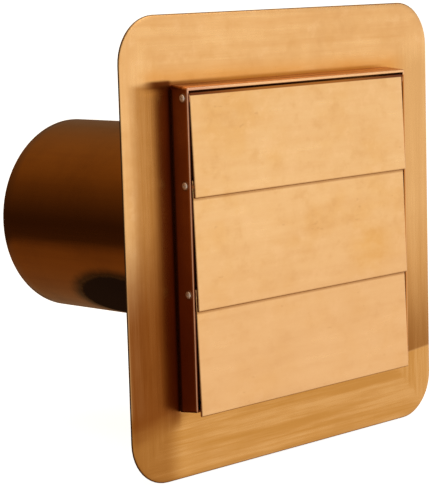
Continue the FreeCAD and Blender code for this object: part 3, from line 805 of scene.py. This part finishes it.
# %% Stains and painted shade of the louvres
def louver_marks_and_painted_shade(tree, place, streaks, clouds, spots):
    """Warm clouds, finger marks and a thumb patch, a browner lower half, a few small nicks, painted shade
    in lines under the laps and painted shade on the upper lip."""
    x, _, z = axes_of(tree, place)
    handled = noise(tree, place, (0.7, 1.0, 1.0), 48.0, 4.0, 0.6)
    nicks = noise(tree, place, (0.45, 1.0, 1.0), 420.0, 2.0, 0.4)
    fingers = noise(tree, place, (0.8, 1.0, 1.0), 105.0, 5.0, 0.65)
    patch = ball_distance(tree, place, (0.0480, -0.0130, -0.0130), (0.0230, 0.1000, 0.0190))
    thumb = product(tree, soft(tree, patch, 1.0, 0.2), ranged(tree, fingers, 0.35, 0.65, 0.4, 1.0), 0.62)
    low = soft(tree, z, 0.030, -0.060)
    rare = soft(tree, product(tree, nicks, ranged(tree, handled, 0.3, 0.7, 0.78, 1.08)), 0.69, 0.78)
    # painted shade: a thin line under each lap, and the upper lip in the gap under the hood's rim
    lap_shade = largest(tree, *(soft(tree, magnitude(tree, minus(tree, z, lower_edge)), 0.0014, 0.0003)
                          for lower_edge in (0.0243, -0.0282)))
    lip = soft(tree, z, 0.07105, 0.07150)
    lip_shade_tint = blend(tree, ranged(tree, magnitude(tree, x), 0.030, 0.070),
                     (0.36, 0.115, 0.014), (0.13, 0.020, 0.002))
    return [
        (product(tree, soft(tree, handled, 0.44, 0.74), 0.45), (0.84, 0.45, 0.13), 0.03),
        (product(tree, soft(tree, fingers, 0.50, 0.70), 0.42), (0.78, 0.42, 0.15), 0.04),
        (product(tree, soft(tree, fingers, 0.46, 0.32), 0.30), (0.98, 0.62, 0.31), 0.0),
        (thumb, (0.84, 0.43, 0.085), 0.02),
        (product(tree, low, 0.55), (0.80, 0.44, 0.195), 0.0),
        (product(tree, rare, 0.22), (0.58, 0.27, 0.09), 0.05),
        (product(tree, lap_shade, 0.62), (0.42, 0.17, 0.045), 0.05),
        (product(tree, lip, 0.96), lip_shade_tint, 0.05),
    ]


finish["louver"] = copper(
    "louver_copper", (0.90, 0.56, 0.255), (0.87, 0.50, 0.21), (0.80, 0.42, 0.13),
    grain=(0.10, 1.0, 1.0), cloudy=0.4, cloud_size=20.0, roughness=0.3, streak=0.45,
    bump=0.04, marks=louver_marks_and_painted_shade)

# %% [markdown]
# The rivet heads are tinted dark, as a painted dark reflection, with a painted highlight on their raised
# crowns. The tailpipe's copper is tinted darker than the flange's. Low on its left side, near the flange,
# it has a painted dark reflection where it stops being a mirror: there the metal turns into a black coat,
# so its metallic value falls with the mask. Its collar in front of the flange is darkened as painted shade
# inside the hood.

# %% Painted light of the rivets and the tailpipe
def painted_rivet_highlight(tree, place, streaks, clouds, spots):
    """The raised crown of each head, with a painted highlight."""
    x, _, _ = axes_of(tree, place)
    return [(soft(tree, magnitude(tree, x), 0.07718, 0.07730), (1.0, 0.88, 0.80), 0.10)]


def pipe_painted_light(tree, place, streaks, clouds, spots):
    """A painted dark reflection on the outside, and a collar in front of the flange darkened as painted
    shade.
    """
    x, y, z = axes_of(tree, place)
    # painted dark reflection: low on the left, near the flange, the metal gives way to a black coat
    spread = ball_distance(tree, place, (-0.0323, 0.0800, -0.0385), (0.0235, 0.0385, 0.0235))
    radius = combine(tree, "POWER", plus(tree, product(tree, x, x), product(tree, z, z)), 0.5)
    patch = product(tree, soft(tree, plus(tree, spread, product(tree, spots, 0.12)), 1.18, 0.84),
                    soft(tree, radius, 0.0499, 0.0502))
    black_reflection = soft(tree, patch, 0.80, 1.0)
    # painted shade on the collar inside the hood
    collar = soft(tree, y, 0.0002, -0.0003)
    shader = tree.nodes["Principled BSDF"]
    shader.inputs["Specular Tint"].default_value = (0.95, 0.90, 0.78, 1.0)
    shader.inputs["Specular IOR Level"].default_value = 0.0
    tree.links.new(minus(tree, 1.0, black_reflection), shader.inputs["Metallic"])
    return [
        (product(tree, patch, 0.98), (0.004, 0.0025, 0.002), 0.25),
        (product(tree, collar, 0.85), (0.16, 0.055, 0.018), 0.10),
    ]


# the rivets' dark tints are a painted dark reflection, as on the hood's cheek
finish["rivet"] = copper(
    "rivet_copper", (0.36, 0.15, 0.07), (0.28, 0.11, 0.05), (0.14, 0.05, 0.02),
    grain=(1.0, 1.0, 1.0), cloudy=0.3, roughness=0.38, marks=painted_rivet_highlight)
finish["tailpipe_sheet"] = copper(
    "tailpipe_copper", (0.37, 0.123, 0.016), (0.31, 0.090, 0.012), (0.21, 0.062, 0.010),
    grain=(1.0, 0.03, 1.0), cloudy=0.45, roughness=0.19, marks=pipe_painted_light)

# %% [markdown]
# The washers and the mandrels need no stains of their own: only a rim of each is seen. The
# mandrels are steel, so their tints are grey.

# %% Finishes of the small parts, and who wears what
finish["washer"] = copper(
    "washer_copper", (0.62, 0.29, 0.13), (0.45, 0.19, 0.08), (0.2, 0.08, 0.03),
    grain=(1.0, 1.0, 1.0), cloudy=0.6)
finish["mandrel"] = copper(
    "mandrel_steel", (0.72, 0.70, 0.68), (0.60, 0.57, 0.54), (0.30, 0.20, 0.15),
    grain=(0.05, 1.0, 1.0), cloudy=0.4, roughness=0.32)
dressed = [(flange, "flange_sheet"), (pipe, "tailpipe_sheet"), (hood, "hood_sheet"), (sill, "hood_sheet")]
dressed += [(obj, "louver") for obj in louvers.values()]
dressed += [(obj, "rivet") for obj in turned_pieces["pivot_rivet"]]
dressed += [(obj, "washer") for obj in turned_pieces["spacer_washer"]]
dressed += [(obj, "mandrel") for obj in turned_pieces["rivet_mandrel"]]
for obj, name in dressed:
    obj.data.materials.clear()
    obj.data.materials.append(finish[name])
print("finished pieces:", len(dressed))

# %% [markdown]
# ## Studio
# A polished sheet shows the room, so most of the studio is in the world's colours and little in
# the lamps. The floor is pale and lit from within, and the metal doesn't mirror it.

# %% Floor
HALF_FLOOR = 20.0
BELOW_PART = 0.6 * MM
floor_mesh = bpy.data.meshes.new("floor")
corners = [(x * HALF_FLOOR, y * HALF_FLOOR, 0) for x, y in ((-1, -1), (1, -1), (1, 1), (-1, 1))]
floor_mesh.from_pydata(corners, [], [(0, 1, 2, 3)])
floor = bpy.data.objects.new("floor", floor_mesh)
floor.location.z = cad_low.z - BELOW_PART
bpy.context.scene.collection.objects.link(floor)
floor.visible_glossy = False
floor_material, _, shader = new_material("pale_floor")
shader.inputs["Emission Color"].default_value = (0.97, 0.985, 1.0, 1)
shader.inputs["Emission Strength"].default_value = 0.86
shader.inputs["Base Color"].default_value = (0.92, 0.92, 0.92, 1)
shader.inputs["Roughness"].default_value = 0.9
floor_mesh.materials.append(floor_material)
print("floor at", round(floor.location.z / MM, 1), "mm")

# %% [markdown]
# The room is dim and warm, darkest just below the horizon, which gives the pipe its dark band. A
# doorway behind on the left keeps the cheek dark, a pale wall stands in front, and a white window on
# the right is what the louvres and the flange mirror. The camera itself sees plain white paper in
# place of the room.

# %% World
world = bpy.data.worlds.new("studio")
bpy.context.scene.world = world
world.use_nodes = True
tree = world.node_tree
tree.nodes.clear()
direction = tree.nodes.new("ShaderNodeTexCoord").outputs["Generated"]
axes = tree.nodes.new("ShaderNodeSeparateXYZ")
tree.links.new(direction, axes.inputs[0])
dim = tree.nodes.new("ShaderNodeValToRGB")
tree.links.new(ranged(tree, axes.outputs["Z"], -1.0, 1.0), dim.inputs["Fac"])
dim.color_ramp.elements[0].color = (0.30, 0.23, 0.16, 1)
dim.color_ramp.elements[1].position = 1.0
dim.color_ramp.elements[1].color = (0.62, 0.50, 0.34, 1)
for height, colour in (
    (-0.60, (0.34, 0.22, 0.12)),
    (-0.32, (0.24, 0.15, 0.09)),
    (-0.05, (0.17, 0.11, 0.08)),
    (0.42, (0.27, 0.18, 0.10)),
    (0.70, (0.44, 0.31, 0.15)),
):
    element = dim.color_ramp.elements.new((height + 1) / 2)
    element.color = (*colour, 1)


def towards(x, y, z):
    """Cosine between the looked-at direction and this one."""
    node = tree.nodes.new("ShaderNodeVectorMath")
    node.operation = "DOT_PRODUCT"
    node.inputs[1].default_value = Vector((x, y, z)).normalized()
    tree.links.new(direction, node.inputs[0])
    return node.outputs["Value"]


level = axes.outputs["Z"]
doorway = product(tree, soft(tree, towards(-0.65, 0.70, 0.0), 0.45, 0.80), 0.80,
                  ranged(tree, level, 0.55, -0.03), soft(tree, level, -0.36, -0.30))
front = product(tree, soft(tree, towards(-0.35, -1.0, 0.0), 0.20, 0.75),
                soft(tree, level, 0.75, 0.20), soft(tree, level, -0.8, -0.4))
window = product(tree, ranged(tree, towards(0.72, -0.69, 0.0), 0.20, 0.62),
                 ranged(tree, level, 0.02, 0.32, 1.0, 0.0), ranged(tree, level, -0.62, -0.34))
walls = blend(tree, doorway, dim.outputs["Color"], (0.03, 0.018, 0.014))
walls = blend(tree, front, walls, (0.55, 0.51, 0.46))
walls = blend(tree, window, walls, (1.06, 1.02, 0.97))
room = tree.nodes.new("ShaderNodeBackground")
tree.links.new(walls, room.inputs["Color"])
paper = tree.nodes.new("ShaderNodeBackground")
paper.inputs["Color"].default_value = (1, 1, 1, 1)
seen = tree.nodes.new("ShaderNodeLightPath")
mixed = tree.nodes.new("ShaderNodeMixShader")
tree.links.new(seen.outputs["Is Camera Ray"], mixed.inputs["Fac"])
tree.links.new(room.outputs["Background"], mixed.inputs[1])
tree.links.new(paper.outputs["Background"], mixed.inputs[2])
out = tree.nodes.new("ShaderNodeOutputWorld")
tree.links.new(mixed.outputs["Shader"], out.inputs["Surface"])
print("world nodes:", len(tree.nodes))


# %% [markdown]
# Two weak lamps stand where the window and the ceiling are. They give the edges their small
# highlights and the floor its faint shadow.

# %% Lamps
def soft_light(name, place, width, power):
    """A square area light at a place, turned to face the origin; power in watts."""
    data = bpy.data.lights.new(name, "AREA")
    data.size = width
    data.energy = power
    light = bpy.data.objects.new(name, data)
    light.location = place
    light.rotation_euler = (-Vector(place)).to_track_quat("-Z", "Y").to_euler()
    bpy.context.scene.collection.objects.link(light)


soft_light("window", (0.9, -1.3, 0.9), 1.0, 4.0)
soft_light("sky", (-0.1, -0.2, 1.5), 1.0, 3.0)
print("lamps:", len(bpy.data.lights))

# %% [markdown]
# ## Camera
# The photograph was taken from the front left, a little above the pipe, from about 0.94 m with a
# long lens. The camera's place, turn and lens come from fitting the object's corners.

# %% Camera
PHOTO_HEIGHT = 488
FOCAL_PIXELS = 1992.12
SHIFT_PIXELS = 50
SENSOR = 36.0
AIM = (-0.05058, 0, -0.02389)
DISTANCE = 0.94056
azimuth, elevation, roll = (math.radians(v) for v in (-45.01, 9.13, -1.71))
back = Vector((math.sin(azimuth) * math.cos(elevation), -math.cos(azimuth) * math.cos(elevation),
               math.sin(elevation)))
right = Vector((0, 0, 1)).cross(back).normalized()
up = back.cross(right)
right_rolled = right * math.cos(roll) + up * math.sin(roll)
up_rolled = up * math.cos(roll) - right * math.sin(roll)
place = Vector(AIM) + back * DISTANCE
camera_data = bpy.data.cameras.new("camera")
camera = bpy.data.objects.new("camera", camera_data)
bpy.context.scene.collection.objects.link(camera)
turn = Matrix((right_rolled, up_rolled, back)).transposed()
camera.matrix_world = Matrix.Translation(place) @ turn.to_4x4()
camera_data.sensor_fit = "VERTICAL"
camera_data.sensor_height = SENSOR
camera_data.lens = FOCAL_PIXELS / PHOTO_HEIGHT * SENSOR
camera_data.shift_y = SHIFT_PIXELS / PHOTO_HEIGHT
camera_data.clip_start = 0.05
bpy.context.scene.camera = camera
bpy.context.scene.view_settings.view_transform = "Standard"
print("lens in mm:", round(camera_data.lens, 1))
